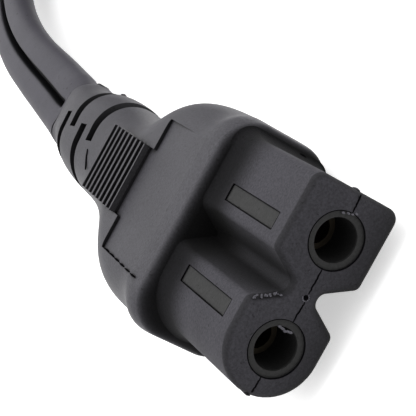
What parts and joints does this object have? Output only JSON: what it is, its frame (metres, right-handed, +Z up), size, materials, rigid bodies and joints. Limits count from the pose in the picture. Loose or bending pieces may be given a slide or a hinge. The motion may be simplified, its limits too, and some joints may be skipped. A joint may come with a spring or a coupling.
{
  "type": "figure eight power connector",
  "caption": "Polarised figure-eight power connector with a squared lobe, ribbed grip and slotted strain relief on a flat twin lead, coiled and tied, ending in a flat-blade plug.",
  "frame": {"origin": "middle of the connector's footprint, on the surface that its underside flat rests on", "axes": "+Y from the mating face back along the lead, +X towards the squared lobe, +Z up through the ribbed grip"},
  "size_m": [0.112, 0.1617, 0.0166],
  "materials": {
    "dark_vinyl": "matte moulded vinyl with a fine grain",
    "carrier_plastic": "hard moulded insert",
    "contact_brass": "rolled strip",
    "strand_copper": "bare stranded copper",
    "lead_vinyl": "smooth extruded vinyl",
    "tie_plastic": "woven-look plastic strap",
    "blade_brass": "stamped strip"
  },
  "bodies": {
    "root": {"connector_overmould": "dark_vinyl", "contact_carrier": "carrier_plastic", "contact_square": "contact_brass", "contact_round": "contact_brass", "strand_square": "strand_copper", "strand_round": "strand_copper", "core_square": "lead_vinyl", "core_round": "lead_vinyl", "cord": "lead_vinyl", "cord_coil": "lead_vinyl", "cord_tail": "lead_vinyl", "coil_tie": "tie_plastic", "plug_overmould": "dark_vinyl", "blade_narrow": "blade_brass", "blade_wide": "blade_brass"}
  },
  "joints": []
}
